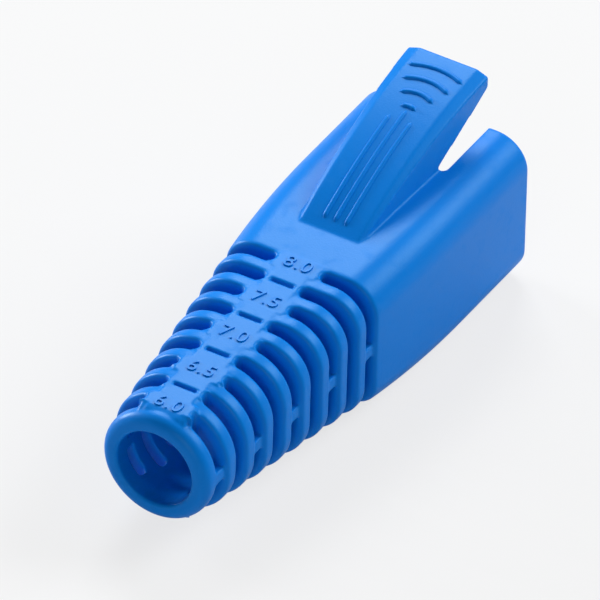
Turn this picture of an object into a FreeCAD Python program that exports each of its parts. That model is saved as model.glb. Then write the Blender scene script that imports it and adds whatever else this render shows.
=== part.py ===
import FreeCAD, Part
import math
import os
import Sketcher

# Slip-on strain relief boot for an 8P8C plug, moulded in one piece of soft PVC.
# X runs along the cable from the cable end to the mouth, Z points to the latch side.
# The origin is the centre of the cable bore, in the end face of the sleeve.

DIMENSIONS = [
    # hood: the hollow box that slips over the plug
    ("total_length", 41.0),
    ("hood_width", 14.0),
    ("hood_height", 11.9),
    ("hood_wall", 1.1),
    ("hood_top_radius", 2.7),
    ("hood_low_radius", 2.0),
    ("parallel_start", 32.0),
    ("edge_break", 0.25),
    ("overlap", 0.1),
    # sleeve: slotted cone round the cable
    ("sleeve_length", 20.35),
    ("rear_width", 12.8),
    ("rear_height", 10.9),
    ("rear_low_radius", 2.4),
    ("collar_width", 9.0),
    ("collar_bevel", 0.5),
    ("cable_bore", 6.2),
    ("throat_bore", 9.0),
    ("throat_start", 20.95),
    ("slot_count", 9),
    ("slot_pitch", 2.24),
    ("slot_width", 0.92),
    ("rib_chamfer", 0.24),
    ("bridge_width", 1.0),
    ("bridge_inset", 0.15),
    ("bridge_overlap", 0.2),
    ("spine_width", 3.0),
    ("pad_width", 3.9),
    ("pad_overlap", 0.4),
    ("spine_proud", 0.04),
    ("spine_break", 0.3),
    ("spine_root", 2.0),
    ("spine_start", 0.9),
    ("scribe_length", 2.0),
    ("scribe_width", 0.34),
    ("scribe_depth", 0.3),
    # passage through the hood and plug cavity
    ("cavity_radius", 0.9),
    ("cavity_start", 27.5),
    # latch guard and the notch under it
    ("guard_root", 24.1),
    ("guard_root_width", 5.4),
    ("guard_tip_width", 6.8),
    ("guard_top_width", 4.9),
    ("guard_bevel", 0.35),
    ("guard_sink", 0.8),
    ("guard_rise", 4.8),
    ("guard_lead", 4.0),
    ("guard_plate", 1.2),
    ("guard_skirt", 1.6),
    ("tip_break", 0.15),
    ("channel_width", 3.9),
    ("channel_start", 29.0),
    ("notch_width", 7.2),
    ("notch_length", 6.5),
    ("notch_radius", 0.6),
    # raised marks
    ("mark_width", 0.3),
    ("mark_height", 0.18),
    ("mark_sink", 0.3),
    ("ridge_start", 24.9),
    ("ridge_length", 10.1),
    ("ridge_shortening", 0.8),
    ("ridge_spacing", 0.9),
    ("arc_count", 4),
    ("arc_spacing", 1.37),
    ("arc_inset", 0.37),
    ("arc_centre", 34.4),
    ("arc_width", 0.42),
    ("arc_half_angle", 27),
    ("dot_diameter", 1.3),
    ("dot_height", 0.3),
    ("dot_pitch", 3.4),
    ("dot_inset", 2.3),
    ("frame_start", 26.3),
    ("frame_length", 3.8),
    ("frame_width", 8.2),
]

os.makedirs("parts", exist_ok=True)
doc = FreeCAD.newDocument("strain_relief_boot")
sheet = doc.addObject("Spreadsheet::Sheet", "Dims")
for row, (alias, value) in enumerate(DIMENSIONS, start=1):
    sheet.set(f"A{row}", alias)
    sheet.set(f"B{row}", str(value))
    sheet.setAlias(f"B{row}", alias)
doc.recompute()

STRAIGHT = FreeCAD.Rotation()
ACROSS = FreeCAD.Rotation(FreeCAD.Vector(1, 1, 1), 120)  # sketch x, y and normal along Y, Z and X
SIDEWAYS = FreeCAD.Rotation(FreeCAD.Vector(1, 0, 0), 90)  # sketch x, y and normal along X, Z and -Y

# lengths and heights that several features share, as expressions on the sheet
HOOD_TOP = "Dims.hood_height / 2"
COLLAR_LENGTH = "(Dims.sleeve_length - Dims.slot_width - (Dims.slot_count - 1) * Dims.slot_pitch)"
RIB_LENGTH = "(Dims.slot_pitch - Dims.slot_width)"
TAPER_LENGTH = "(Dims.parallel_start - Dims.sleeve_length)"
TIP_TOP = "(Dims.hood_height / 2 + Dims.guard_rise)"


def value_of(expression):
    return float(sheet.evalExpression(expression))


SLOT_COUNT = int(value_of("Dims.slot_count"))
ODD_SLOTS = range(1, SLOT_COUNT + 1, 2)
EVEN_SLOTS = range(2, SLOT_COUNT, 2)


def blend(front, rear, station):
    """Size at a station on the straight taper of the sleeve."""
    return f"({front} + ({rear} - {front}) * ({station}) / Dims.sleeve_length)"


def hood_size(mouth, rear, station):
    """Size at a station on the hood, which swells to its full size along a parabola."""
    return f"({mouth} - ({mouth} - {rear}) * ((Dims.parallel_start - {station}) / {TAPER_LENGTH}) ^ 2)"


ROOT_TOP = hood_size("Dims.hood_height", "Dims.rear_height", "Dims.guard_root") + " / 2"
GUARD_RUN = "(Dims.total_length - Dims.guard_root)"
GUARD_LIFT = f"({TIP_TOP} - {ROOT_TOP})"
# the guard's top is an arc through its root and its tip, level at guard_lead beyond the tip
ARCH_X = "(Dims.total_length + Dims.guard_lead)"
ARCH_DROP = f"{GUARD_RUN} * ({GUARD_RUN} + 2 * Dims.guard_lead) / (2 * {GUARD_LIFT})"
ARCH_Z = f"({TIP_TOP} - {GUARD_LIFT} / 2 - {ARCH_DROP})"
ARCH_RADIUS = f"sqrt(Dims.guard_lead ^ 2 + ({TIP_TOP} - {ARCH_Z}) ^ 2)"


# helpers
def add(kind, name, **values):
    """New document object; a text value is an expression on the sheet."""
    thing = doc.addObject(kind, name)
    for key, value in values.items():
        if isinstance(value, str):
            thing.setExpression(key, value)
        else:
            setattr(thing, key, value)
    return thing


def place(thing, x="0", y="0", z="0", rotation=STRAIGHT):
    thing.Placement = FreeCAD.Placement(FreeCAD.Vector(), rotation)
    for axis, expression in zip("xyz", (x, y, z)):
        thing.setExpression(f"Placement.Base.{axis}", expression)
    return thing


def point(x, y):
    return FreeCAD.Vector(x, y, 0)


def constrain(sketch, kind, *where):
    return sketch.addConstraint(Sketcher.Constraint(kind, *where))


def dimension(sketch, label, expression, kind, *where):
    index = constrain(sketch, kind, *where, value_of(expression))
    sketch.renameConstraint(index, label)
    sketch.setExpression(f"Constraints.{label}", expression)


def pin(sketch, label, geometry, end, x, y):
    """Fix a point of the sketch at two coordinates given as expressions."""
    for axis, expression, kind, datum in (("x", x, "DistanceX", -2), ("y", y, "DistanceY", -1)):
        if abs(value_of(expression)) < 1e-9:
            constrain(sketch, "PointOnObject", geometry, end, datum)
        else:
            dimension(sketch, f"{label}_{axis}", expression, kind, geometry, end)


def polygon(name, rotation, corners, station="0"):
    """Closed outline with straight sides through corners given as pairs of expressions."""
    sketch = add("Sketcher::SketchObject", name)
    place(sketch, station, rotation=rotation)
    places = [point(value_of(x), value_of(y)) for x, y in corners]
    sides = []
    for first, second in zip(places, places[1:] + places[:1]):
        sides.append(sketch.addGeometry(Part.LineSegment(first, second)))
    for first, second in zip(sides, sides[1:] + sides[:1]):
        constrain(sketch, "Coincident", first, 2, second, 1)
    for number, (side, (x, y)) in enumerate(zip(sides, corners)):
        pin(sketch, f"corner{number}", side, 1, x, y)
    return sketch


def section(name, station, width, height, top_radius, low_radius):
    """Rounded rectangle about the cable axis, in the plane X = station."""
    sketch = add("Sketcher::SketchObject", name)
    place(sketch, station, rotation=ACROSS)
    w, h, rt, rl = value_of(width) / 2, value_of(height) / 2, value_of(top_radius), value_of(low_radius)
    floor = sketch.addGeometry(Part.LineSegment(point(-w + rl, -h), point(w - rl, -h)))
    right = sketch.addGeometry(Part.LineSegment(point(w, -h + rl), point(w, h - rt)))
    roof = sketch.addGeometry(Part.LineSegment(point(w - rt, h), point(-w + rt, h)))
    left = sketch.addGeometry(Part.LineSegment(point(-w, h - rt), point(-w, -h + rl)))
    sides = [floor, right, roof, left]
    centres = [(w - rl, -h + rl, rl), (w - rt, h - rt, rt), (-w + rt, h - rt, rt), (-w + rl, -h + rl, rl)]
    arcs = []
    for turn, (x, y, radius) in enumerate(centres, start=-1):
        circle = Part.Circle(point(x, y), FreeCAD.Vector(0, 0, 1), radius)
        start = turn * math.pi / 2
        arcs.append(sketch.addGeometry(Part.ArcOfCircle(circle, start, start + math.pi / 2)))
    for i, arc in enumerate(arcs):
        constrain(sketch, "Tangent", sides[i], 2, arc, 1)
        constrain(sketch, "Tangent", arc, 2, sides[(i + 1) % 4], 1)
    constrain(sketch, "Horizontal", roof)
    constrain(sketch, "Vertical", right)
    constrain(sketch, "Vertical", left)
    constrain(sketch, "Equal", arcs[0], arcs[3])
    constrain(sketch, "Equal", arcs[1], arcs[2])
    constrain(sketch, "Symmetric", floor, 1, floor, 2, -2)
    dimension(sketch, "width", width, "DistanceX", left, 2, right, 1)
    dimension(sketch, "height", height, "DistanceY", floor, 1, roof, 2)
    dimension(sketch, "middle", f"({height}) / 2", "DistanceY", floor, 1, -1, 1)
    dimension(sketch, "top_radius", top_radius, "Radius", arcs[1])
    dimension(sketch, "low_radius", low_radius, "Radius", arcs[0])
    return sketch


def extrude(name, sketch, length, symmetric=False):
    thing = add("Part::Extrusion", name, Base=sketch, LengthFwd=length, Symmetric=symmetric, Solid=True)
    thing.DirMode = "Normal"
    return thing


def loft(name, sections):
    return add("Part::Loft", name, Sections=sections, Solid=True, Ruled=True)


def union(name, shapes):
    return add("Part::MultiFuse", name, Shapes=shapes)


def break_edges(kind, name, base, length, test):
    """Fillet or chamfer of one size on the edges whose bounding box passes the test."""
    doc.recompute()
    thing = add(kind, name, Base=base)
    chosen = [i for i, edge in enumerate(base.Shape.Edges, start=1) if test(edge.BoundBox)]
    thing.Edges = [(i, length, length) for i in chosen]
    return thing


def lies_at(*stations):
    """Test for edges that lie in one of the planes X = station."""
    places = [value_of(station) for station in stations]
    return lambda box: any(abs(box.XMin - x) < 1e-4 and abs(box.XMax - x) < 1e-4 for x in places)


# hood
def make_hood():
    stations = ["Dims.sleeve_length"]
    stations += [f"(Dims.sleeve_length + {TAPER_LENGTH} * {share})" for share in (0.5, 1.0)]
    sections = []
    for number, station in enumerate(stations, start=1):
        width = hood_size("Dims.hood_width", "Dims.rear_width", station)
        height = hood_size("Dims.hood_height", "Dims.rear_height", station)
        sections.append(section(f"HoodSection{number}", station, width, height,
                                "Dims.hood_top_radius", "Dims.hood_low_radius"))
    sections.append(section("HoodMouth", "Dims.total_length", "Dims.hood_width", "Dims.hood_height",
                            "Dims.hood_top_radius", "Dims.hood_low_radius"))
    block = loft("HoodBlock", sections)
    ends = lies_at("Dims.sleeve_length", "Dims.total_length")
    softened = break_edges("Part::Chamfer", "HoodSoftened", block, value_of("Dims.edge_break"), ends)
    notch = add("Part::Box", "Notch", Length="Dims.notch_length + 1", Width="Dims.notch_width",
                Height="Dims.hood_height")
    start = "Dims.total_length - Dims.notch_length"
    place(notch, start, "-Dims.notch_width / 2", "Dims.hood_height / 4")
    inner = lies_at(start)
    radius = value_of("Dims.notch_radius")
    rounded = break_edges("Part::Fillet", "NotchRounded", notch, radius,
                          lambda box: inner(box) and box.ZLength > radius)
    return add("Part::Cut", "Hood", Base=softened, Tool=rounded)


def make_dots():
    """Three rows of three low studs on the flat underside."""
    dots = []
    for column in range(3):
        for row in range(3):
            dot = add("Part::Cylinder", f"Dot{column}{row}", Radius="Dims.dot_diameter / 2",
                      Height="Dims.dot_height + Dims.overlap")
            dots.append(place(dot, f"Dims.total_length - Dims.dot_inset - {column} * Dims.dot_pitch",
                              f"{row - 1} * Dims.dot_pitch", f"-{HOOD_TOP} - Dims.dot_height"))
    return dots


def make_frame():
    """Bare raised rectangle on the sloping part of the underside."""
    start, end = "Dims.frame_start", "(Dims.frame_start + Dims.frame_length)"
    low, high = [hood_size("Dims.hood_height", "Dims.rear_height", station) for station in (start, end)]
    slope = math.atan2(value_of(f"({high} - {low}) / 2"), value_of("Dims.frame_length"))
    tilt = FreeCAD.Rotation(FreeCAD.Vector(0, 1, 0), math.degrees(slope))
    outer = add("Part::Box", "FrameOuter", Length="Dims.frame_length", Width="Dims.frame_width",
                Height="Dims.mark_height + Dims.mark_sink")
    inner = add("Part::Box", "FrameInner", Length="Dims.frame_length - 2 * Dims.mark_width",
                Width="Dims.frame_width - 2 * Dims.mark_width", Height=2.0)
    place(outer, start, "-Dims.frame_width / 2", f"-{low} / 2 - Dims.mark_height", tilt)
    place(inner, f"{start} + Dims.mark_width", "-Dims.frame_width / 2 + Dims.mark_width",
          f"-{low} / 2 - 1", tilt)
    return add("Part::Cut", "Frame", Base=outer, Tool=inner)


# sleeve
def make_collar():
    """Round ring at the cable end, bevelled on the outside."""
    radius = "Dims.collar_width / 2"
    profile = [("0", "0"), ("0", f"{radius} - Dims.collar_bevel"), ("Dims.collar_bevel", radius),
               (f"{COLLAR_LENGTH} - Dims.rib_chamfer", radius),
               (COLLAR_LENGTH, f"{radius} - Dims.rib_chamfer"), (COLLAR_LENGTH, "0")]
    sketch = polygon("CollarProfile", SIDEWAYS, profile)
    return add("Part::Revolution", "Collar", Source=sketch, Axis=FreeCAD.Vector(1, 0, 0), Angle=360.0,
               Solid=True)


def slot_start(number):
    return f"({COLLAR_LENGTH} + {number - 1} * Dims.slot_pitch)"


def make_rib(number):
    """Rib behind slot `number`, with its outer edges chamfered."""
    start = f"({slot_start(number)} + Dims.slot_width)"
    middle = f"({start} + {RIB_LENGTH} / 2)"
    round_end = "(Dims.collar_width / 2 - Dims.spine_proud)"
    outline = section(f"RibOutline{number}", start,
                      blend("Dims.collar_width", "Dims.rear_width", middle),
                      blend("Dims.collar_width", "Dims.rear_height", middle),
                      blend(round_end, "Dims.hood_top_radius", middle),
                      blend(round_end, "Dims.rear_low_radius", middle))
    disc = extrude(f"RibDisc{number}", outline, RIB_LENGTH)
    faces = lies_at(start, f"{start} + {RIB_LENGTH}")
    return break_edges("Part::Chamfer", f"Rib{number}", disc, value_of("Dims.rib_chamfer"), faces)


def band(name, side, width, stations):
    """Flat-topped band on the crown of the sleeve, at the top (side 1) or the bottom (side -1)."""
    ends = []
    for number, (station, drop) in enumerate(stations, start=1):
        crown = blend("Dims.collar_width", "Dims.rear_height", station) + f" / 2 + Dims.spine_proud - {drop}"
        shoulder, edge = f"{crown} - Dims.spine_break / 2", f"{width} / 2"
        corners = []
        for half, height in ((f"-{edge}", "Dims.spine_root"), (edge, "Dims.spine_root"), (edge, shoulder),
                             (f"{edge} - Dims.spine_break", crown), (f"-{edge} + Dims.spine_break", crown),
                             (f"-{edge}", shoulder)):
            corners.append((half, f"{side} * ({height})"))
        ends.append(polygon(f"{name}Section{number}", ACROSS, corners, station))
    return loft(name, ends)


def make_spine(name, side):
    """Band that carries the ribs, with a wider pad across every odd slot."""
    stations = [("Dims.spine_start", "Dims.spine_break"), (f"({COLLAR_LENGTH} - Dims.overlap)", "0"),
                ("(Dims.sleeve_length + Dims.pad_overlap)", "0")]
    bands = [band(name, side, "Dims.spine_width", stations)]
    for number in ODD_SLOTS:
        start = f"({slot_start(number)} - Dims.pad_overlap)"
        end = f"({slot_start(number)} + Dims.slot_width + Dims.pad_overlap)"
        bands.append(band(f"{name}Pad{number}", side, "Dims.pad_width", [(start, "0"), (end, "0")]))
    return bands


def make_scribe(number):
    """Short groove across the top spine at slot `number`."""
    middle = f"({slot_start(number)} + Dims.slot_width / 2)"
    crown = blend("Dims.collar_width", "Dims.rear_height", middle) + " / 2 + Dims.spine_proud"
    groove = add("Part::Box", f"Scribe{number}", Length="Dims.scribe_width", Width="Dims.scribe_length",
                 Height="Dims.scribe_depth + 1")
    return place(groove, f"{middle} - Dims.scribe_width / 2", "-Dims.scribe_length / 2",
                 f"{crown} - Dims.scribe_depth")


def make_bridge(number):
    """Thin tie across slot `number` at mid side; the bore parts it in two."""
    start = slot_start(number)
    width = f"({blend('Dims.collar_width', 'Dims.rear_width', start)} - 2 * Dims.bridge_inset)"
    bridge = add("Part::Box", f"Bridge{number}", Length="Dims.slot_width + 2 * Dims.bridge_overlap",
                 Width=width, Height="Dims.bridge_width")
    return place(bridge, f"{start} - Dims.bridge_overlap", f"-{width} / 2", "-Dims.bridge_width / 2")


# latch guard
def arch_cylinder(name, offset):
    """Cylinder across the guard, offset from the arch of its top."""
    cylinder = add("Part::Cylinder", name, Radius=f"{ARCH_RADIUS} + ({offset})", Height="Dims.hood_width")
    return place(cylinder, ARCH_X, "Dims.hood_width / 2", ARCH_Z, SIDEWAYS)


def guard_section(number, station, drop="0"):
    """Outline of the guard with a sloping edge at each side of its flat top, in the plane X = station."""
    share = f"({station} - Dims.guard_root) / {GUARD_RUN}"
    half = f"(Dims.guard_root_width + (Dims.guard_tip_width - Dims.guard_root_width) * {share}) / 2"
    top = f"{ARCH_Z} + sqrt({ARCH_RADIUS} ^ 2 - ({ARCH_X} - {station}) ^ 2) - {drop}"
    rim = f"{top} - Dims.guard_bevel"
    flat = "Dims.guard_top_width / 2"
    corners = [(f"-{half}", "0"), (half, "0"), (half, rim), (flat, top), (f"-{flat}", top), (f"-{half}", rim)]
    return polygon(f"GuardSection{number}", ACROSS, corners, station)


def make_guard():
    """Hood over the plug's latch: an arched plate with a skirt down each side."""
    notch_start = "Dims.total_length - Dims.notch_length"
    floor = f"{HOOD_TOP} - Dims.guard_sink"
    side_view = [("Dims.guard_root", floor), (notch_start, floor), (notch_start, HOOD_TOP),
                 ("Dims.total_length", f"{TIP_TOP} - Dims.guard_skirt"),
                 ("Dims.total_length", f"{TIP_TOP} + 1"), ("Dims.guard_root", f"{TIP_TOP} + 1")]
    slab = extrude("GuardSlab", polygon("GuardSide", SIDEWAYS, side_view), "Dims.hood_width", symmetric=True)
    steps = 6
    sections = [guard_section(i, f"(Dims.guard_root + {GUARD_RUN} * {i / steps})") for i in range(steps)]
    sections.append(guard_section(steps, "(Dims.total_length - Dims.tip_break)"))
    sections.append(guard_section(steps + 1, "Dims.total_length", "Dims.tip_break"))
    return add("Part::Common", "Guard", Base=slab, Tool=loft("GuardBlank", sections))


def make_guard_marks():
    """Thin raised ridges along the guard, then curved ones across it near the tip."""
    skin = add("Part::Cut", "MarkSkin", Base=arch_cylinder("MarkTop", "Dims.mark_height"),
               Tool=arch_cylinder("MarkFoot", "-Dims.mark_sink"))
    marks = []
    for number, offset in enumerate((-1, 0, 1), start=1):
        ridge = add("Part::Box", f"Ridge{number}", Width="Dims.mark_width", Height="2 * Dims.hood_height",
                    Length=f"Dims.ridge_length - {abs(offset)} * Dims.ridge_shortening")
        marks.append(place(ridge, "Dims.ridge_start", f"{offset} * Dims.ridge_spacing - Dims.mark_width / 2"))
    half_angle = value_of("Dims.arc_half_angle")
    turn = FreeCAD.Rotation(FreeCAD.Vector(0, 0, 1), -half_angle)
    for number in range(1, int(value_of("Dims.arc_count")) + 1):
        radius = f"{number} * Dims.arc_spacing - Dims.arc_inset"
        sectors = []
        for name, half in (("Outer", "+ Dims.arc_width / 2"), ("Inner", "- Dims.arc_width / 2")):
            sector = add("Part::Cylinder", f"Arc{name}{number}", Radius=f"{radius} {half}",
                         Angle="2 * Dims.arc_half_angle", Height="2 * Dims.hood_height")
            sectors.append(place(sector, "Dims.arc_centre", rotation=turn))
        marks.append(add("Part::Cut", f"Arc{number}", Base=sectors[0], Tool=sectors[1]))
    return add("Part::Common", "GuardMarks", Base=skin, Tool=union("MarkPattern", marks))


# hollows
def make_hollows():
    """Cable bore, tapered passage, throat, plug cavity, latch channel, and the grooves on the spine."""
    bore = add("Part::Cylinder", "CableBore", Radius="Dims.cable_bore / 2",
               Height=f"{COLLAR_LENGTH} + Dims.overlap")
    place(bore, "-Dims.overlap", rotation=ACROSS)
    cone = add("Part::Cone", "SleeveBore", Radius1="Dims.cable_bore / 2", Radius2="Dims.throat_bore / 2",
               Height=f"Dims.throat_start - {COLLAR_LENGTH}")
    place(cone, COLLAR_LENGTH, rotation=ACROSS)
    throat = add("Part::Cylinder", "Throat", Radius="Dims.throat_bore / 2",
                 Height="Dims.cavity_start - Dims.throat_start + Dims.overlap")
    place(throat, "Dims.throat_start", rotation=ACROSS)
    width = "(Dims.hood_width - 2 * Dims.hood_wall)"
    height = "(Dims.hood_height - 2 * Dims.hood_wall)"
    outline = section("CavityOutline", "Dims.cavity_start", width, height,
                      "Dims.cavity_radius", "Dims.cavity_radius")
    cavity = extrude("PlugCavity", outline, "Dims.total_length - Dims.cavity_start + 1")
    slot = add("Part::Box", "ChannelSlot", Length="Dims.total_length - Dims.channel_start + 1",
               Width="Dims.channel_width", Height="Dims.hood_height")
    place(slot, "Dims.channel_start", "-Dims.channel_width / 2")
    ceiling = arch_cylinder("ChannelCeiling", "-Dims.guard_plate")
    channel = add("Part::Common", "LatchChannel", Base=slot, Tool=ceiling)
    scribes = [make_scribe(number) for number in EVEN_SLOTS]
    return union("Hollows", [bore, cone, throat, cavity, channel] + scribes)


solids = [make_hood(), make_guard(), make_guard_marks(), make_frame(), make_collar()]
solids += make_dots()
solids += [make_rib(number) for number in range(1, SLOT_COUNT)]
solids += make_spine("TopSpine", 1) + make_spine("BottomSpine", -1)
solids += [make_bridge(number) for number in ODD_SLOTS]
boot = add("Part::Cut", "Boot", Base=union("BootBlank", solids), Tool=make_hollows())
boot.Label = "boot"
doc.recompute()

for thing in doc.Objects:
    if "Invalid" in thing.State or "Error" in thing.State:
        raise RuntimeError(f"{thing.Name} did not build: {thing.State}")
if boot.Shape.isNull() or not boot.Shape.isValid() or len(boot.Shape.Solids) != 1:
    raise RuntimeError(f"the boot is not one valid solid: {len(boot.Shape.Solids)} solids")
boot.Shape.exportStep("parts/boot.step")
print(f"boot: {boot.Shape.Volume:.1f} mm3, {len(boot.Shape.Faces)} faces, {boot.Shape.BoundBox}")
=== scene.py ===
import math

import bmesh
import bpy
from mathutils import Matrix, Vector


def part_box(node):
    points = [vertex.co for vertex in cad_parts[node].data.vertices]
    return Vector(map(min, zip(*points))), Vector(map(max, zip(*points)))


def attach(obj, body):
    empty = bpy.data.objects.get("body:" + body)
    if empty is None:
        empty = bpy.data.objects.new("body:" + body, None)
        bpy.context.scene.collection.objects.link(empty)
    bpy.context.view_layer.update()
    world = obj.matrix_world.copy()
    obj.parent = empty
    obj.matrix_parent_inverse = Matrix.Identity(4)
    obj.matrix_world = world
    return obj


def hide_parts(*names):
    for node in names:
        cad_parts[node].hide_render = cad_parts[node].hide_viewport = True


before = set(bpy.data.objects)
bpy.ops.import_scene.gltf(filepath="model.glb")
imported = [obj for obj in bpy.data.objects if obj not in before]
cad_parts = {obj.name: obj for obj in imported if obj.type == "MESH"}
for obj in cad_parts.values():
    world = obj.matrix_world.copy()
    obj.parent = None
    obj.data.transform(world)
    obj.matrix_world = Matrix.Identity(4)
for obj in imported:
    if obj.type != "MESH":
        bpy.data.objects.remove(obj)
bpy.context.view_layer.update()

# The boot is built in millimetres, and each finished piece is brought to metres.
# X runs from the cable end to the mouth, Z points to the latch guard.
bootLow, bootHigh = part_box("boot")
scene = bpy.context.scene
millimetre = 0.001
mouthX = bootHigh.x / millimetre
floorZ = bootLow.z / millimetre
mergeDistance = 0.0005
axisRadius = 0.01  # a turned solid closes this near its axis
print("frame loaded: the boot is", round(mouthX, 2), "mm long")


# helpers for meshes
def newPiece(name, points, faces):
    mesh = bpy.data.meshes.new(name)
    mesh.from_pydata(points, [], faces)
    obj = bpy.data.objects.new(name, mesh)
    scene.collection.objects.link(obj)
    shape = bmesh.new()
    shape.from_mesh(mesh)
    bmesh.ops.recalc_face_normals(shape, faces=shape.faces)
    shape.to_mesh(mesh)
    shape.free()
    return obj


def applyModifiers(obj):
    depsgraph = bpy.context.evaluated_depsgraph_get()
    result = bpy.data.meshes.new_from_object(obj.evaluated_get(depsgraph))
    obj.modifiers.clear()
    old = obj.data
    obj.data = result
    bpy.data.meshes.remove(old)


def dropPiece(obj):
    mesh = obj.data
    bpy.data.objects.remove(obj)
    bpy.data.meshes.remove(mesh)


def loftRings(name, rings):
    count = len(rings[0])
    points = [point for ring in rings for point in ring]
    faces = [tuple(range(count)), tuple(range(len(points) - count, len(points)))]  # the two ends
    for start in range(0, len(points) - count, count):
        for i in range(count):
            j = (i + 1) % count
            faces.append((start + i, start + j, start + count + j, start + count + i))
    return newPiece(name, points, faces)


def turnedSolid(name, profile, segments=120):
    turns = [2 * math.pi * i / segments for i in range(segments)]
    rings = [[(x, radius * math.cos(a), radius * math.sin(a)) for a in turns] for x, radius in profile]
    return loftRings(name, rings)


def roundedSection(width, height, topRadius, lowRadius, middle=0.0, steps=14):
    corners = [(1, 1, topRadius), (-1, 1, topRadius), (-1, -1, lowRadius), (1, -1, lowRadius)]
    points = []
    for quarter, (sideY, sideZ, radius) in enumerate(corners):
        for step in range(steps + 1):
            angle = math.pi / 2 * (quarter + step / steps)
            y = sideY * (width / 2 - radius) + radius * math.cos(angle)
            z = sideZ * (height / 2 - radius) + radius * math.sin(angle)
            points.append((y, z + middle))
    return points


def block(name, low, high):
    (x0, y0, z0), (x1, y1, z1) = low, high
    return loftRings(name, [[(x, y0, z0), (x, y1, z0), (x, y1, z1), (x, y0, z1)] for x in (x0, x1)])


def mix(first, last, share):
    return first + (last - first) * share


def quarterTurn(steps):
    angles = [math.pi / 2 * step / steps for step in range(steps + 1)]
    return [(math.cos(angle), math.sin(angle)) for angle in angles]


# helpers for node trees
def addNode(tree, kind, inputs=None, **settings):
    made = tree.nodes.new(kind)
    for key, value in settings.items():
        setattr(made, key, value)
    for key, value in (inputs or {}).items():
        socket = made.inputs[key]
        if isinstance(value, bpy.types.NodeSocket):
            tree.links.new(value, socket)
        else:
            socket.default_value = value
    return made


def calc(tree, operation, first, second=0.0, third=0.0):
    return addNode(tree, "ShaderNodeMath", {0: first, 1: second, 2: third}, operation=operation).outputs[0]


def mixNode(tree, share, first, last):
    return addNode(tree, "ShaderNodeMix", {0: share, 2: first, 3: last}).outputs[0]


def newTree(name, inputs):
    tree = bpy.data.node_groups.new(name, "GeometryNodeTree")
    for label, value in inputs.items():
        if isinstance(value, bpy.types.Material):
            kind = "NodeSocketMaterial"
        else:
            kind = "NodeSocketInt" if isinstance(value, int) else "NodeSocketFloat"
        tree.interface.new_socket(label, in_out="INPUT", socket_type=kind)
    tree.interface.new_socket("Geometry", in_out="OUTPUT", socket_type="NodeSocketGeometry")
    return tree, tree.nodes.new("NodeGroupInput").outputs


def endTree(tree, geometry, material):
    real = addNode(tree, "GeometryNodeRealizeInstances", {0: geometry})
    merged = addNode(tree, "GeometryNodeMergeByDistance", {
        0: real.outputs[0], "Distance": mergeDistance})
    smooth = addNode(tree, "GeometryNodeSetShadeSmooth", {0: merged.outputs[0]})
    painted = addNode(tree, "GeometryNodeSetMaterial", {"Geometry": smooth.outputs[0], "Material": material})
    out = tree.nodes.new("NodeGroupOutput")
    tree.links.new(painted.outputs[0], out.inputs[0])


def grow(name, tree, inputs):
    obj = newPiece(name, [], [])
    modifier = obj.modifiers.new(name, "NODES")
    modifier.node_group = tree
    for item in tree.interface.items_tree:
        if item.in_out == "INPUT":
            modifier[item.identifier] = inputs[item.name]
    applyModifiers(obj)
    return obj


def startRepeat(tree, count):
    first = tree.nodes.new("GeometryNodeRepeatInput")
    last = tree.nodes.new("GeometryNodeRepeatOutput")
    first.pair_with_output(last)
    tree.links.new(count, first.inputs["Iterations"])
    return first, last


def endRepeat(tree, first, last, geometry):
    joined = tree.nodes.new("GeometryNodeJoinGeometry")
    tree.links.new(first.outputs["Geometry"], joined.inputs[0])
    tree.links.new(geometry, joined.inputs[0])
    tree.links.new(joined.outputs[0], last.inputs["Geometry"])
    return last.outputs["Geometry"]


# camera
camera = {
    "right": (0.514, -0.857, 0.022),
    "up": (0.519, 0.331, 0.788),
    "target": (20.62, 0.18, 1.73),
    "distance": 1500.0,
    "field": 43.3,  # width of what is seen at the boot
}


def makeCamera():
    right = Vector(camera["right"]).normalized()
    up = Vector(camera["up"])
    up = (up - up.dot(right) * right).normalized()
    back = right.cross(up)
    data = bpy.data.cameras.new("studioCamera")
    data.sensor_width = 36.0
    data.lens = data.sensor_width * camera["distance"] / camera["field"]
    data.clip_start = 0.01
    obj = bpy.data.objects.new("studioCamera", data)
    scene.collection.objects.link(obj)
    turn = Matrix((right, up, back)).transposed().to_4x4()
    place = (Vector(camera["target"]) + back * camera["distance"]) * millimetre
    obj.matrix_world = Matrix.Translation(place) @ turn
    scene.camera = obj


makeCamera()
print("camera placed")

# soft moulded vinyl
pvc = {
    "colour": (0.0004, 0.165, 0.610, 1.0),
    "paleColour": (0.0010, 0.188, 0.665, 1.0),
    "roughness": 0.36,
    "roughnessSpread": 0.10,
    "specular": 0.15,
    "specularTint": (0.45, 0.90, 1.0, 1.0),
    "refraction": 1.5,
    "grainSize": 0.16,
    "grainHeight": 0.010,
    "flowSize": 9.0,
    "scuffScale": 0.9,  # per millimetre
    "scuffLow": 0.55,
    "scuffHigh": 0.75,
}


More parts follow.
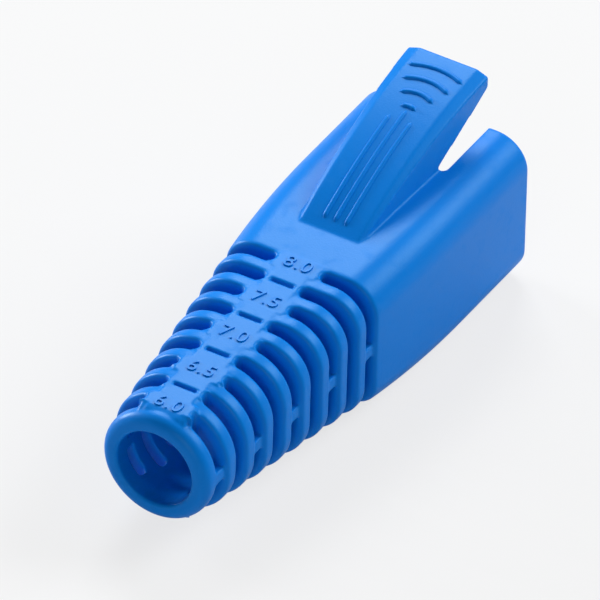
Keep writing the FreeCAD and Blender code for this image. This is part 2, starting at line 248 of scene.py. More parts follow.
def makeMouldGrain():
    group = bpy.data.node_groups.new("mouldGrain", "ShaderNodeTree")
    for label in ("Grain Size", "Grain Height", "Flow Size"):
        group.interface.new_socket(label, in_out="INPUT", socket_type="NodeSocketFloat")
    group.interface.new_socket("Normal", in_out="OUTPUT", socket_type="NodeSocketVector")
    group.interface.new_socket("Flow", in_out="OUTPUT", socket_type="NodeSocketFloat")
    group.interface.new_socket("Scuff", in_out="OUTPUT", socket_type="NodeSocketFloat")
    given = group.nodes.new("NodeGroupInput").outputs
    place = group.nodes.new("ShaderNodeTexCoord").outputs["Object"]
    perMetre = 1.0 / millimetre
    fine = addNode(group, "ShaderNodeTexNoise", {
        "Vector": place, "Scale": calc(group, "DIVIDE", perMetre, given["Grain Size"]), "Detail": 3.0})
    flow = addNode(group, "ShaderNodeTexNoise", {
        "Vector": place, "Scale": calc(group, "DIVIDE", perMetre, given["Flow Size"]), "Detail": 2.0})
    scuff = addNode(group, "ShaderNodeTexNoise", {
        "Vector": place, "Scale": pvc["scuffScale"] * perMetre, "Detail": 6.0})
    scuffRamp = addNode(group, "ShaderNodeMapRange", {
        "Value": scuff.outputs[0], "From Min": pvc["scuffLow"], "From Max": pvc["scuffHigh"]})
    grainDepth = calc(group, "MULTIPLY", given["Grain Height"], millimetre)
    height = calc(group, "MULTIPLY", fine.outputs[0], grainDepth)
    bump = addNode(group, "ShaderNodeBump", {"Height": height, "Strength": 1.0, "Distance": 1.0})
    out = group.nodes.new("NodeGroupOutput")
    group.links.new(bump.outputs[0], out.inputs["Normal"])
    group.links.new(flow.outputs[0], out.inputs["Flow"])
    group.links.new(scuffRamp.outputs[0], out.inputs["Scuff"])
    return group


def makePvc(name, grain):
    material = bpy.data.materials.new(name)
    material.use_nodes = True
    tree = material.node_tree
    shader = tree.nodes["Principled BSDF"]
    effect = addNode(tree, "ShaderNodeGroup", node_tree=grain)
    effect.inputs["Grain Size"].default_value = pvc["grainSize"]
    effect.inputs["Grain Height"].default_value = pvc["grainHeight"]
    effect.inputs["Flow Size"].default_value = pvc["flowSize"]
    tint = addNode(tree, "ShaderNodeMix", {
        "Factor": effect.outputs["Flow"], 6: pvc["colour"], 7: pvc["paleColour"]}, data_type="RGBA")
    rough = addNode(tree, "ShaderNodeMapRange", {
        "Value": effect.outputs["Scuff"],
        "To Min": pvc["roughness"], "To Max": pvc["roughness"] + pvc["roughnessSpread"]})
    tree.links.new(tint.outputs[2], shader.inputs["Base Color"])
    tree.links.new(rough.outputs[0], shader.inputs["Roughness"])
    tree.links.new(effect.outputs["Normal"], shader.inputs["Normal"])
    shader.inputs["IOR"].default_value = pvc["refraction"]
    shader.inputs["Specular IOR Level"].default_value = pvc["specular"]
    shader.inputs["Specular Tint"].default_value = pvc["specularTint"]
    return material


softPvc = makePvc("softPvc", makeMouldGrain())
print("material ready")

# hood: the box over the plug
hood = {
    "startX": 20.35, "parallelX": 32.0, "width": 14.0, "height": 11.9,
    "startWidth": 12.8, "startHeight": 10.9, "topRadius": 2.7, "lowRadius": 2.0,
    "lip": 0.32, "roundSteps": 6, "rings": 26,
}


def hoodSize(full, start, x):
    share = max(0.0, hood["parallelX"] - x) / (hood["parallelX"] - hood["startX"])
    return full - (full - start) * share ** 2


def makeHood():
    lip, turn = hood["lip"], quarterTurn(hood["roundSteps"])
    firstX, lastX = hood["startX"] + lip, mouthX - lip
    # rounded edge towards the sleeve, the long part, and the rounded edge of the mouth
    stations = [(hood["startX"] + lip * (1 - cosine), lip * (1 - sine)) for cosine, sine in turn]
    stations += [(mix(firstX, lastX, i / hood["rings"]), 0.0) for i in range(1, hood["rings"])]
    stations += [(lastX + lip * sine, lip * (1 - cosine)) for cosine, sine in turn]
    rings = []
    for x, inset in stations:
        width = hoodSize(hood["width"], hood["startWidth"], x) - 2 * inset
        height = hoodSize(hood["height"], hood["startHeight"], x) - 2 * inset
        outline = roundedSection(width, height, hood["topRadius"] - inset, hood["lowRadius"] - inset)
        rings.append([(x, y, z) for y, z in outline])
    return loftRings("hoodBlank", rings)


# sleeve: collar, ribs, spines and side bridges
sleeve = {
    "collarLength": 1.51, "collarRadius": 4.5, "collarRound": 0.85, "collarSteps": 10,
    "boreRadius": 3.1, "boreRound": 0.2, "boreSteps": 8, "throatRadius": 4.5, "throatX": 20.95,
    "endX": 20.35, "endWidth": 12.8, "endHeight": 10.9, "endTopRadius": 2.7, "endLowRadius": 2.4,
    "slots": 9, "pitch": 2.24, "slotWidth": 0.92,
    "slotEndShare": 0.8, "slotEndSteps": 6, "slotEndOverlap": 0.02,
    "ribRound": 0.34, "ribRings": 19, "ribCornerSteps": 18, "ribCornerClear": 0.04, "backSteps": 6,
    "spineWidth": 3.0, "spineProud": 0.04, "spineRound": 0.2, "spineRoot": 2.4, "spineFoot": 0.05,
    "spineSteps": 5, "padWidth": 3.9, "padOverlap": 0.4,
    "bridgeHeight": 1.0, "bridgeDrop": 0.15, "bridgeOverlap": 0.2,
    # place along the sleeve and depth below the crown, where a band runs down into the collar
    "spineRamp": [(0.7, 0.4), (1.0, 0.12), (1.4, 0.0)],
    "padRamp": [(0.35, 0.8), (0.7, 0.5), (1.1, 0.2), (1.5, 0.03), (1.8, 0.0)],
}


def slotStart(number):
    return sleeve["collarLength"] + (number - 1) * sleeve["pitch"]


def sleeveSize(last, x):
    return mix(2 * sleeve["collarRadius"], last, x / sleeve["endX"])


def makeRibs():
    inputs = {
        "Rib Count": sleeve["slots"] - 1, "First Rib": slotStart(1) + sleeve["slotWidth"],
        "Pitch": sleeve["pitch"], "Rib Length": sleeve["pitch"] - sleeve["slotWidth"],
        "Front Size": 2 * sleeve["collarRadius"], "End Width": sleeve["endWidth"],
        "End Height": sleeve["endHeight"], "Front Radius": sleeve["collarRadius"] - sleeve["ribCornerClear"],
        "Top Radius": sleeve["endTopRadius"], "Low Radius": sleeve["endLowRadius"],
        "Sleeve Length": sleeve["endX"], "Edge Round": sleeve["ribRound"]}
    tree, given = newTree("sleeveRibs", inputs)
    first, last = startRepeat(tree, given["Rib Count"])
    start = calc(tree, "MULTIPLY_ADD", first.outputs["Iteration"], given["Pitch"], given["First Rib"])
    middle = calc(tree, "MULTIPLY_ADD", given["Rib Length"], 0.5, start)
    share = calc(tree, "DIVIDE", middle, given["Sleeve Length"])
    width = mixNode(tree, share, given["Front Size"], given["End Width"])
    height = mixNode(tree, share, given["Front Size"], given["End Height"])
    outline = addNode(tree, "GeometryNodeCurvePrimitiveQuadrilateral", {
        "Width": width, "Height": height})
    here = tree.nodes.new("GeometryNodeInputPosition").outputs[0]
    corner = addNode(tree, "ShaderNodeSeparateXYZ", {0: here})
    radius = mixNode(tree, calc(tree, "GREATER_THAN", corner.outputs["Y"]),
                     mixNode(tree, share, given["Front Radius"], given["Low Radius"]),
                     mixNode(tree, share, given["Front Radius"], given["Top Radius"]))
    rounded = addNode(tree, "GeometryNodeFilletCurve", {
        "Curve": outline.outputs[0], "Count": sleeve["ribCornerSteps"], "Radius": radius,
        "Limit Radius": True}, mode="POLY")
    # a short line through the rib carries the outline, a little smaller near both ends
    lineEnd = addNode(tree, "ShaderNodeCombineXYZ", {2: given["Rib Length"]})
    line = addNode(tree, "GeometryNodeCurvePrimitiveLine", {
        "Start": (0.0, 0.0, 0.0), "End": lineEnd.outputs[0]})
    stations = addNode(tree, "GeometryNodeResampleCurve", {
        "Curve": line.outputs[0], "Count": sleeve["ribRings"]})
    along = tree.nodes.new("GeometryNodeSplineParameter").outputs["Factor"]
    nearest = calc(tree, "MULTIPLY", calc(tree, "MINIMUM", along, calc(tree, "SUBTRACT", 1.0, along)),
                   given["Rib Length"])
    short = calc(tree, "MAXIMUM", calc(tree, "SUBTRACT", given["Edge Round"], nearest), 0.0)
    reach = calc(tree, "SQRT", calc(tree, "SUBTRACT", calc(tree, "POWER", given["Edge Round"], 2.0),
                                    calc(tree, "POWER", short, 2.0)))
    inset = calc(tree, "SUBTRACT", given["Edge Round"], reach)
    scale = calc(tree, "SUBTRACT", 1.0, calc(tree, "DIVIDE", inset, calc(tree, "MULTIPLY", height, 0.5)))
    rib = addNode(tree, "GeometryNodeCurveToMesh", {
        "Curve": stations.outputs[0], "Profile Curve": rounded.outputs[0], "Scale": scale, "Fill Caps": True})
    place = addNode(tree, "ShaderNodeCombineXYZ", {0: start})
    turned = addNode(tree, "GeometryNodeTransform", {
        "Geometry": rib.outputs[0], "Rotation": (math.pi / 2, 0.0, math.pi / 2),
        "Translation": place.outputs[0]})
    ribs = endRepeat(tree, first, last, turned.outputs[0])
    out = tree.nodes.new("NodeGroupOutput")
    real = addNode(tree, "GeometryNodeRealizeInstances", {0: ribs})
    painted = addNode(tree, "GeometryNodeSetMaterial", {"Geometry": real.outputs[0], "Material": softPvc})
    tree.links.new(painted.outputs[0], out.inputs[0])
    return grow("ribs", tree, inputs)


def makeCollar():
    full, length = sleeve["collarRadius"], sleeve["collarLength"]
    rim, back = sleeve["collarRound"], sleeve["ribRound"]
    profile = [(0.0, axisRadius)]
    for cosine, sine in quarterTurn(sleeve["collarSteps"]):
        profile.append((rim * (1 - cosine), full - rim * (1 - sine)))
    for cosine, sine in quarterTurn(sleeve["backSteps"]):
        profile.append((length - back * (1 - sine), full - back * (1 - cosine)))
    return turnedSolid("collarBlank", profile + [(length, axisRadius)])


def bandRing(x, width, side, drop=0.0):  # side is 1 for the top, -1 for the underside
    crown = sleeveSize(sleeve["endHeight"], x) / 2 + sleeve["spineProud"] - drop
    root = sleeve["spineRoot"]
    outline = roundedSection(width, crown - root, sleeve["spineRound"], sleeve["spineFoot"],
                             (crown + root) / 2, sleeve["spineSteps"])
    return [(x, y, side * z) for y, z in outline]


def makeSpine(name, side):
    stations = sleeve["spineRamp"] + [(sleeve["endX"] + sleeve["padOverlap"], 0.0)]
    return loftRings(name, [bandRing(x, sleeve["spineWidth"], side, drop) for x, drop in stations])


def makePads(side):
    pads = []
    for number in range(1, sleeve["slots"] + 1, 2):  # wider places in the spine, at every second slot
        low = slotStart(number) - sleeve["padOverlap"]
        high = slotStart(number) + sleeve["slotWidth"] + sleeve["padOverlap"]
        start = sleeve["padRamp"] if number == 1 else [(low, 0.0)]
        rings = [bandRing(x, sleeve["padWidth"], side, drop) for x, drop in start + [(high, 0.0)]]
        pads.append(loftRings(f"pad{number}", rings))
    return pads


def makeSlotEnds(side):
    webs, radius, steps = [], sleeve["slotWidth"] / 2, sleeve["slotEndSteps"]
    for number in range(1, sleeve["slots"] + 1):  # each slot ends round where it meets the spine
        middle = slotStart(number) + radius
        base = sleeve["padWidth"] if number % 2 else sleeve["spineWidth"]
        rings = []
        for step in range(-steps, steps + 1):
            angle = math.pi / 2 * step / steps
            spread = 2 * radius * sleeve["slotEndShare"] * (1 - math.cos(angle))
            x = middle + (radius + sleeve["slotEndOverlap"]) * math.sin(angle)
            rings.append(bandRing(x, base + spread, side))
        webs.append(loftRings(f"slotEnd{number}", rings))
    return webs


def makeBridges():
    bridges = []
    for number in range(1, sleeve["slots"] + 1, 2):
        low = slotStart(number) - sleeve["bridgeOverlap"]
        high = slotStart(number) + sleeve["slotWidth"] + sleeve["bridgeOverlap"]
        reach = sleeveSize(sleeve["endWidth"], slotStart(number)) / 2 - sleeve["bridgeDrop"]
        tall = sleeve["bridgeHeight"] / 2
        bridges.append(block(f"bridge{number}", (low, -reach, -tall), (high, reach, tall)))
    return bridges


# latch guard
guard = {
    "rise": 4.8, "lead": 4.0, "rootX": 24.1, "rootBuried": 1.6, "rootWidth": 5.4, "tipWidth": 6.8,
    "flatWidth": 4.9, "bevel": 0.35, "plate": 1.2, "skirt": 1.3, "skirtLift": 0.2, "leastDepth": 0.9,
    "floor": 5.15, "tipRound": 0.18, "tipSteps": 4, "rings": 44,
    "channelWidth": 3.9, "channelX": 29.0, "channelSteps": 30,
    "notchX": 34.5, "notchWidth": 7.2, "notchRound": 0.6, "notchCorner": 0.01, "notchStep": 0.01,
}
hoodTop = hood["height"] / 2
guardTop = hoodTop + guard["rise"]
archX = mouthX + guard["lead"]  # the guard's top is an arc, level a little beyond the mouth


def archShape():
    rootTop = hoodSize(hood["height"], hood["startHeight"], guard["rootX"]) / 2
    rise, run = guardTop - rootTop, mouthX - guard["rootX"]
    centre = guardTop - rise / 2 - run * (run + 2 * guard["lead"]) / (2 * rise)
    return math.hypot(guard["lead"], guardTop - centre), centre


archRadius, archCentre = archShape()


def archTop(x, offset=0.0):
    return archCentre + math.sqrt((archRadius + offset) ** 2 - (x - archX) ** 2)


def makeGuard():
    startX, tip, notchX = guard["rootX"] - guard["rootBuried"], guard["tipRound"], guard["notchX"]
    stations = [(mix(startX, mouthX - tip, i / guard["rings"]), 0.0) for i in range(guard["rings"])]
    stations = sorted(stations + [(notchX, 0.0), (notchX + guard["notchStep"], 0.0)])
    for cosine, sine in quarterTurn(guard["tipSteps"]):
        stations.append((mouthX - tip * (1 - sine), tip * (1 - cosine)))
    rings = []
    for x, inset in stations:
        share = (x - guard["rootX"]) / (mouthX - guard["rootX"])
        half = mix(guard["rootWidth"], guard["tipWidth"], share) / 2 - inset
        flat = guard["flatWidth"] / 2 - inset
        top, low = archTop(x) - inset, guard["floor"]
        if x > notchX:  # the skirt clears the notch
            share = (x - notchX) / (mouthX - notchX)
            low = mix(hoodTop + guard["skirtLift"], guardTop - guard["skirt"], share) + inset
        low, rim = min(low, top - guard["leastDepth"]), top - guard["bevel"]
        rings.append([(x, y, z) for y, z in [
            (-half, low), (half, low), (half, rim), (flat, top), (-flat, top), (-half, rim)]])
    return loftRings("guardBlank", rings)


def makeNotch():
    length = mouthX - guard["notchX"] + hollow["beyond"]
    outline = roundedSection(guard["notchWidth"], length, guard["notchCorner"], guard["notchRound"],
                             guard["notchX"] + length / 2)
    return loftRings("notchHollow", [[(x, y, z) for y, x in outline] for z in (hoodTop / 2, 2 * hoodTop)])


# hollows: the bore, the plug cavity, the channel under the guard and the cut marks
hollow = {
    "cavityX": 27.5, "wall": 1.1, "cavityRadius": 0.9, "mouthFlare": 0.2, "flareLength": 0.4,
    "before": 0.4, "beyond": 1.0, "throatOverlap": 0.5,  # how far the tools pass what they cut
    "cutLength": 2.0, "cutWidth": 0.34, "cutDepth": 0.30, "cutAbove": 0.5,
}


def makeHollows():
    radius, rim = sleeve["boreRadius"], sleeve["boreRound"]
    bore = [(-hollow["before"], radius + rim)]
    for cosine, sine in quarterTurn(sleeve["boreSteps"]):
        bore.append((rim * (1 - cosine), radius + rim * (1 - sine)))
    bore += [(sleeve["collarLength"], radius), (sleeve["throatX"], sleeve["throatRadius"]),
             (hollow["cavityX"] + hollow["throatOverlap"], sleeve["throatRadius"])]
    rings = []
    for x, flare in [(hollow["cavityX"], 0.0), (mouthX - hollow["flareLength"], 0.0),
                     (mouthX, hollow["mouthFlare"]), (mouthX + hollow["beyond"], hollow["mouthFlare"])]:
        width = hood["width"] - 2 * (hollow["wall"] - flare)
        height = hood["height"] - 2 * (hollow["wall"] - flare)
        outline = roundedSection(width, height, hollow["cavityRadius"], hollow["cavityRadius"])
        rings.append([(x, y, z) for y, z in outline])
    channelRings = []
    half, steps = guard["channelWidth"] / 2, guard["channelSteps"]
    for step in range(steps + 1):
        x = mix(guard["channelX"], mouthX + hollow["beyond"], step / steps)
        top = archTop(min(x, mouthX), -guard["plate"])
        channelRings.append([(x, -half, 0.0), (x, half, 0.0), (x, half, top), (x, -half, top)])
    return [turnedSolid("boreHollow", bore), loftRings("cavityHollow", rings),
            loftRings("channelHollow", channelRings)]


def makeCuts():
    cuts = []
    for number in range(2, sleeve["slots"], 2):  # engraved cut marks, between the sizes
        x = slotStart(number) + sleeve["slotWidth"] / 2
        top = sleeveSize(sleeve["endHeight"], x) / 2 + sleeve["spineProud"]
        half, deep = hollow["cutWidth"] / 2, hollow["cutDepth"]
        cuts.append(block(f"cut{number}", (x - half, -hollow["cutLength"] / 2, top - deep),
                          (x + half, hollow["cutLength"] / 2, top + hollow["cutAbove"])))
    return cuts


def subtract(solids, tools):
    for solid in solids:
        for tool in tools:
            modifier = solid.modifiers.new("hollow", "BOOLEAN")
            modifier.operation = "DIFFERENCE"
            modifier.solver = "MANIFOLD"
            modifier.object = tool
        applyModifiers(solid)


# one moulding out of the solids: joined, rounded over by small voxels, then thinned
moulding = {"voxel": 0.10, "smoothSteps": 7, "smoothShare": 0.5, "faceTarget": 185000}


def joinPieces(name, pieces):
    shape = bmesh.new()
    for piece in pieces:
        shape.from_mesh(piece.data)
        dropPiece(piece)
    joined = newPiece(name, [], [])
    shape.to_mesh(joined.data)
    shape.free()
    return joined


def mould(obj):
    voxels = obj.modifiers.new("voxels", "REMESH")
    voxels.mode = "VOXEL"
    voxels.voxel_size = moulding["voxel"]
    soften = obj.modifiers.new("soften", "SMOOTH")
    soften.factor = moulding["smoothShare"]
    soften.iterations = moulding["smoothSteps"]
    applyModifiers(obj)
    thin = obj.modifiers.new("thin", "DECIMATE")
    thin.ratio = min(1.0, moulding["faceTarget"] / (2 * len(obj.data.polygons)))
    applyModifiers(obj)


def finishPiece(obj, smooth=True):
    obj.data.transform(Matrix.Scale(millimetre, 4))
    obj.data.materials.clear()
    obj.data.materials.append(softPvc)
    obj.data.polygons.foreach_set("use_smooth", [smooth] * len(obj.data.polygons))
    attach(obj, "root")


def makeBody():
    hoodBlank = makeHood()
    notch = makeNotch()
    subtract([hoodBlank], [notch])
    topBands = [makeSpine("topSpine", 1)] + makeSlotEnds(1)
    cuts = makeCuts()
    subtract(topBands, cuts)
    solids = topBands + [hoodBlank, makeGuard(), makeCollar(), makeRibs(), makeSpine("lowSpine", -1)]
    solids += makePads(1) + makePads(-1) + makeSlotEnds(-1) + makeBridges()
    hollows = makeHollows()
    subtract(solids, hollows)
    for tool in [notch] + cuts + hollows:
        dropPiece(tool)
    body = joinPieces("bootBody", solids)
    mould(body)
    print("body moulded:", len(body.data.polygons), "faces")
    return body


bootBody = makeBody()
finishPiece(bootBody)
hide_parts("boot")

# raised marks on the latch guard
marks = {
    "Ridge Count": 3, "Ridge Spacing": 0.9, "Ridge Start": 24.9, "Long Ridge": 10.1, "Short Ridge": 9.3,
    "Arc Count": 4, "Arc Centre": 34.4, "Arc Spacing": 1.37, "Arc Inset": 0.37,
    "Half Angle": math.radians(27), "Angle Gain": math.radians(5),
    "Ridge Radius": 0.2, "Arc Radius": 0.23, "Mark Sink": 0.06, "Taper": 0.3,
}
detail = {  # how finely the raised marks are divided
    "markStep": 0.12, "markSides": 12, "markEnd": 0.3, "arcPoints": 40,
    "dotSegments": 28, "dotRings": 14, "frameCorner": 6,
}


def sweepMarks(tree, curves, height, radius, taper, keepEnds=True):
    steps = addNode(tree, "GeometryNodeResampleCurve", {
        "Curve": curves, "Length": detail["markStep"]}, mode="LENGTH")
    here = tree.nodes.new("GeometryNodeInputPosition").outputs[0]
    parts = addNode(tree, "ShaderNodeSeparateXYZ", {0: here})
    lifted = addNode(tree, "ShaderNodeCombineXYZ", {
        0: parts.outputs["X"], 1: parts.outputs["Y"], 2: height(parts.outputs["X"])})
    placed = addNode(tree, "GeometryNodeSetPosition", {
        "Geometry": steps.outputs[0], "Position": lifted.outputs[0]})
    circle = addNode(tree, "GeometryNodeCurvePrimitiveCircle", {
        "Resolution": detail["markSides"], "Radius": radius})
    scale = 1.0
    if keepEnds:
        run = tree.nodes.new("GeometryNodeSplineParameter").outputs["Length"]
        full = tree.nodes.new("GeometryNodeSplineLength").outputs["Length"]
        left = calc(tree, "MINIMUM", run, calc(tree, "SUBTRACT", full, run))
        grown = calc(tree, "MINIMUM", calc(tree, "DIVIDE", left, taper), 1.0)
        scale = calc(tree, "MAXIMUM", grown, detail["markEnd"])
    return addNode(tree, "GeometryNodeCurveToMesh", {
        "Curve": placed.outputs[0], "Profile Curve": circle.outputs[0], "Scale": scale,
        "Fill Caps": keepEnds}).outputs[0]


def makeGuardMarks():
    inputs = dict(marks, **{"Arch Radius": archRadius, "Arch Centre": archCentre, "Arch X": archX,
                            "Material": softPvc})
    tree, given = newTree("guardMarks", inputs)
    first, last = startRepeat(tree, given["Ridge Count"])
    centred = calc(tree, "SUBTRACT", first.outputs["Iteration"],
                   calc(tree, "MULTIPLY", calc(tree, "SUBTRACT", given["Ridge Count"], 1.0), 0.5))
    y = calc(tree, "MULTIPLY", centred, given["Ridge Spacing"])
    isOuter = calc(tree, "GREATER_THAN", calc(tree, "ABSOLUTE", centred), 0.5)
    end = calc(tree, "ADD", given["Ridge Start"],
               mixNode(tree, isOuter, given["Long Ridge"], given["Short Ridge"]))
    ridge = addNode(tree, "GeometryNodeCurvePrimitiveLine", {
        "Start": addNode(tree, "ShaderNodeCombineXYZ", {0: given["Ridge Start"], 1: y}).outputs[0],
        "End": addNode(tree, "ShaderNodeCombineXYZ", {0: end, 1: y}).outputs[0]})
    ridges = endRepeat(tree, first, last, ridge.outputs[0])
    first, last = startRepeat(tree, given["Arc Count"])
    number = calc(tree, "ADD", first.outputs["Iteration"], 1.0)
    radius = calc(tree, "SUBTRACT", calc(tree, "MULTIPLY", number, given["Arc Spacing"]), given["Arc Inset"])
    # the inner arcs turn further
    inward = calc(tree, "SUBTRACT", given["Arc Count"], number)
    half = calc(tree, "MULTIPLY_ADD", inward, given["Angle Gain"], given["Half Angle"])
    arc = addNode(tree, "GeometryNodeCurveArc", {
        "Resolution": detail["arcPoints"], "Radius": radius,
        "Start Angle": calc(tree, "MULTIPLY", half, -1.0),
        "Sweep Angle": calc(tree, "MULTIPLY", half, 2.0)}, mode="RADIUS")
    moved = addNode(tree, "GeometryNodeTransform", {
        "Geometry": arc.outputs[0],
        "Translation": addNode(tree, "ShaderNodeCombineXYZ", {0: given["Arc Centre"]}).outputs[0]})
    arcs = endRepeat(tree, first, last, moved.outputs[0])

    def onArch(x):
        side = calc(tree, "SUBTRACT", x, given["Arch X"])
        reach = calc(tree, "SUBTRACT", calc(tree, "POWER", given["Arch Radius"], 2.0),
                     calc(tree, "MULTIPLY", side, side))
        top = calc(tree, "ADD", given["Arch Centre"], calc(tree, "SQRT", reach))
        return calc(tree, "SUBTRACT", top, given["Mark Sink"])

    both = tree.nodes.new("GeometryNodeJoinGeometry")
    tree.links.new(sweepMarks(tree, ridges, onArch, given["Ridge Radius"], given["Taper"]), both.inputs[0])
    tree.links.new(sweepMarks(tree, arcs, onArch, given["Arc Radius"], given["Taper"]), both.inputs[0])
    endTree(tree, both.outputs[0], given["Material"])
    return grow("guardMarks", tree, inputs)


finishPiece(makeGuardMarks())
print("guard marks made")

# grip dots and bare frame on the underside
lastDotInset = 2.3  # from the mouth
dots = {"Dots Along": 3, "Dots Across": 3, "Pitch": 3.4, "Dot Radius": 0.65, "Dot Height": 0.3}
frameLine = {
    "Frame Start": 26.3, "Frame Length": 3.8, "Frame Width": 8.2, "Line Radius": 0.17, "Corner": 0.25,
}


def makeGripDots():
    inputs = dict(dots, **{
        "Last Dot": mouthX - lastDotInset, "Underside": -hood["height"] / 2, "Material": softPvc})
    tree, given = newTree("gripDots", inputs)
    span = calc(tree, "MULTIPLY", given["Pitch"], 2.0)
    grid = addNode(tree, "GeometryNodeMeshGrid", {
        "Size X": span, "Size Y": span,
        "Vertices X": given["Dots Along"], "Vertices Y": given["Dots Across"]})
    dot = addNode(tree, "GeometryNodeMeshUVSphere", {
        "Segments": detail["dotSegments"], "Rings": detail["dotRings"], "Radius": 1.0})
    size = addNode(tree, "ShaderNodeCombineXYZ", {
        0: given["Dot Radius"], 1: given["Dot Radius"], 2: given["Dot Height"]})
    placed = addNode(tree, "GeometryNodeInstanceOnPoints", {
        "Points": grid.outputs[0], "Instance": dot.outputs[0], "Scale": size.outputs[0]})
    centre = calc(tree, "SUBTRACT", given["Last Dot"], given["Pitch"])
    moved = addNode(tree, "GeometryNodeTransform", {
        "Geometry": placed.outputs[0],
        "Translation": addNode(tree, "ShaderNodeCombineXYZ", {0: centre, 2: given["Underside"]}).outputs[0]})
    endTree(tree, moved.outputs[0], given["Material"])
    return grow("gripDots", tree, inputs)


def makeUnderFrame():
    inputs = dict(frameLine, **{
        "Full Height": hood["height"], "Start Height": hood["startHeight"], "Parallel X": hood["parallelX"],
        "Taper Length": hood["parallelX"] - hood["startX"], "Material": softPvc})
    tree, given = newTree("underFrame", inputs)
    outline = addNode(tree, "GeometryNodeCurvePrimitiveQuadrilateral", {
        "Width": given["Frame Length"], "Height": given["Frame Width"]})
    rounded = addNode(tree, "GeometryNodeFilletCurve", {
        "Curve": outline.outputs[0], "Count": detail["frameCorner"], "Radius": given["Corner"]}, mode="POLY")
    centre = calc(tree, "MULTIPLY_ADD", given["Frame Length"], 0.5, given["Frame Start"])
    moved = addNode(tree, "GeometryNodeTransform", {
        "Geometry": rounded.outputs[0],
        "Translation": addNode(tree, "ShaderNodeCombineXYZ", {0: centre}).outputs[0]})

    def onUnderside(x):
        share = calc(tree, "DIVIDE", calc(tree, "SUBTRACT", given["Parallel X"], x), given["Taper Length"])
        lost = calc(tree, "MULTIPLY", calc(tree, "SUBTRACT", given["Full Height"], given["Start Height"]),
                    calc(tree, "POWER", calc(tree, "MAXIMUM", share, 0.0), 2.0))
        return calc(tree, "MULTIPLY", calc(tree, "SUBTRACT", given["Full Height"], lost), -0.5)

    swept = sweepMarks(tree, moved.outputs[0], onUnderside, given["Line Radius"], 1.0, keepEnds=False)
    endTree(tree, swept, given["Material"])
    return grow("underFrame", tree, inputs)


finishPiece(makeGripDots())
finishPiece(makeUnderFrame())
print("underside made")

# plain cable sizes on the spine: the cable diameter that each slot suits
numerals = {
    "Count": 5, "First Size": 6.0, "Size Step": 0.5, "Text Size": 1.7, "Letter Spacing": 1.12,
    "Raise": 0.10, "Sink": 0.25,
}


def makeNumerals():
    inputs = dict(numerals, **{
        "First X": slotStart(1) + sleeve["slotWidth"] / 2, "Pitch": 2 * sleeve["pitch"],
        "Front Height": sleeve["collarRadius"] + sleeve["spineProud"],
        "Rise": (sleeve["endHeight"] / 2 - sleeve["collarRadius"]) / sleeve["endX"], "Material": softPvc})
    tree, given = newTree("cableSizes", inputs)
    first, last = startRepeat(tree, given["Count"])
    turn = first.outputs["Iteration"]
    value = calc(tree, "MULTIPLY_ADD", turn, given["Size Step"], given["First Size"])
    written = addNode(tree, "FunctionNodeValueToString", {"Value": value, "Decimals": 1})
    curves = addNode(tree, "GeometryNodeStringToCurves", {
        "String": written.outputs[0], "Size": given["Text Size"],
        "Character Spacing": given["Letter Spacing"]}, align_x="CENTER", align_y="MIDDLE")
    letters = addNode(tree, "GeometryNodeRealizeInstances", {0: curves.outputs[0]})
    flat = addNode(tree, "GeometryNodeFillCurve", {"Curve": letters.outputs[0]}, mode="NGONS")
    depth = calc(tree, "ADD", given["Raise"], given["Sink"])
    solid = addNode(tree, "GeometryNodeExtrudeMesh", {
        "Mesh": flat.outputs[0], "Offset Scale": depth, "Individual": False})
    under = addNode(tree, "GeometryNodeFlipFaces", {0: flat.outputs[0]})
    closed = tree.nodes.new("GeometryNodeJoinGeometry")
    tree.links.new(solid.outputs[0], closed.inputs[0])
    tree.links.new(under.outputs[0], closed.inputs[0])
    place = calc(tree, "MULTIPLY_ADD", turn, given["Pitch"], given["First X"])
    moved = addNode(tree, "GeometryNodeTransform", {
        "Geometry": closed.outputs[0], "Rotation": (0.0, 0.0, -math.pi / 2),
        "Translation": addNode(tree, "ShaderNodeCombineXYZ", {0: place}).outputs[0]})
    words = endRepeat(tree, first, last, moved.outputs[0])
    here = tree.nodes.new("GeometryNodeInputPosition").outputs[0]
    parts = addNode(tree, "ShaderNodeSeparateXYZ", {0: here})
    height = calc(tree, "MULTIPLY_ADD", parts.outputs["X"], given["Rise"], given["Front Height"])
    crown = calc(tree, "SUBTRACT", height, given["Sink"])
    onSpine = addNode(tree, "GeometryNodeSetPosition", {
        "Geometry": words, "Offset": addNode(tree, "ShaderNodeCombineXYZ", {2: crown}).outputs[0]})
    real = addNode(tree, "GeometryNodeRealizeInstances", {0: onSpine.outputs[0]})
    merged = addNode(tree, "GeometryNodeMergeByDistance", {
        0: real.outputs[0], "Distance": mergeDistance})
    painted = addNode(tree, "GeometryNodeSetMaterial", {
        "Geometry": merged.outputs[0], "Material": given["Material"]})
    tree.links.new(painted.outputs[0], tree.nodes.new("NodeGroupOutput").inputs[0])
    return grow("cableSizes", tree, inputs)


finishPiece(makeNumerals(), smooth=False)
print("cable sizes made")

# floor, light and background
studio = {
    "floorColour": (0.55, 0.56, 0.57, 1.0), "floorRoughness": 0.9, "floorGlow": 0.72,
    "floorSize": 3.0, "worldLight": 0.15, "white": (1.0, 1.0, 1.0, 1.0),
}
# where each lamp stands, seen from the boot, in metres
lamps = {
    "keyLight": {"direction": (0.60, -0.52, 0.61), "distance": 0.6, "size": 0.30, "power": 3.0},
    "backLight": {"direction": (0.61, 0.39, 0.69), "distance": 0.7, "size": 0.28, "power": 3.4},
    "rimLight": {"direction": (0.12, 0.98, 0.20), "distance": 0.6, "size": 0.20, "power": 3.6},
    "fillLight": {"direction": (-0.90, -0.30, 0.27), "distance": 0.6, "size": 0.25, "power": 0.8},
}


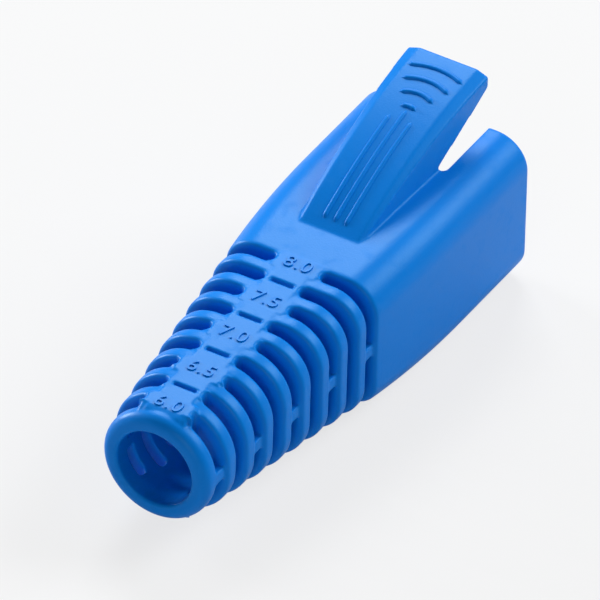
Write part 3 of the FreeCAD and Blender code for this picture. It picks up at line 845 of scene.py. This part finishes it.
def makeStage():
    material = bpy.data.materials.new("studioFloor")
    material.use_nodes = True
    tree = material.node_tree
    shader = tree.nodes["Principled BSDF"]
    shader.inputs["Base Color"].default_value = studio["floorColour"]
    shader.inputs["Roughness"].default_value = studio["floorRoughness"]
    glow = addNode(tree, "ShaderNodeEmission", {"Color": studio["white"], "Strength": 1.0})
    path = tree.nodes.new("ShaderNodeLightPath")
    share = calc(tree, "MULTIPLY", path.outputs["Is Camera Ray"], studio["floorGlow"])
    mixed = addNode(tree, "ShaderNodeMixShader", {0: share, 1: shader.outputs[0], 2: glow.outputs[0]})
    clear = tree.nodes.new("ShaderNodeBsdfTransparent")
    backSide = tree.nodes.new("ShaderNodeNewGeometry").outputs["Backfacing"]
    oneSided = addNode(tree, "ShaderNodeMixShader", {0: backSide, 1: mixed.outputs[0], 2: clear.outputs[0]})
    tree.links.new(oneSided.outputs[0], tree.nodes["Material Output"].inputs["Surface"])
    size, low = studio["floorSize"], floorZ * millimetre
    corners = [(-size, -size, low), (size, -size, low), (size, size, low), (-size, size, low)]
    floor = newPiece("studioFloor", corners, [(0, 1, 2, 3)])
    floor.data.materials.append(material)


def makeWorld():
    world = bpy.data.worlds.new("studioWorld")
    world.use_nodes = True
    tree = world.node_tree
    back = tree.nodes["Background"]
    path = tree.nodes.new("ShaderNodeLightPath")
    seen = calc(tree, "MAXIMUM", path.outputs["Is Camera Ray"], path.outputs["Is Transmission Ray"])
    strength = mixNode(tree, seen, studio["worldLight"], 1.0)
    back.inputs["Color"].default_value = studio["white"]
    tree.links.new(strength, back.inputs["Strength"])
    scene.world = world


def softBox(name, direction, distance, size, power):
    data = bpy.data.lights.new(name, "AREA")
    data.shape = "SQUARE"
    data.size = size
    data.energy = power
    obj = bpy.data.objects.new(name, data)
    scene.collection.objects.link(obj)
    target = Vector(camera["target"]) * millimetre
    away = Vector(direction).normalized()
    obj.location = target + away * distance
    obj.rotation_euler = away.to_track_quat("Z", "Y").to_euler()


makeStage()
makeWorld()
for lampName, lamp in lamps.items():
    softBox(lampName, **lamp)
scene.view_settings.view_transform = "Standard"
print("studio ready")
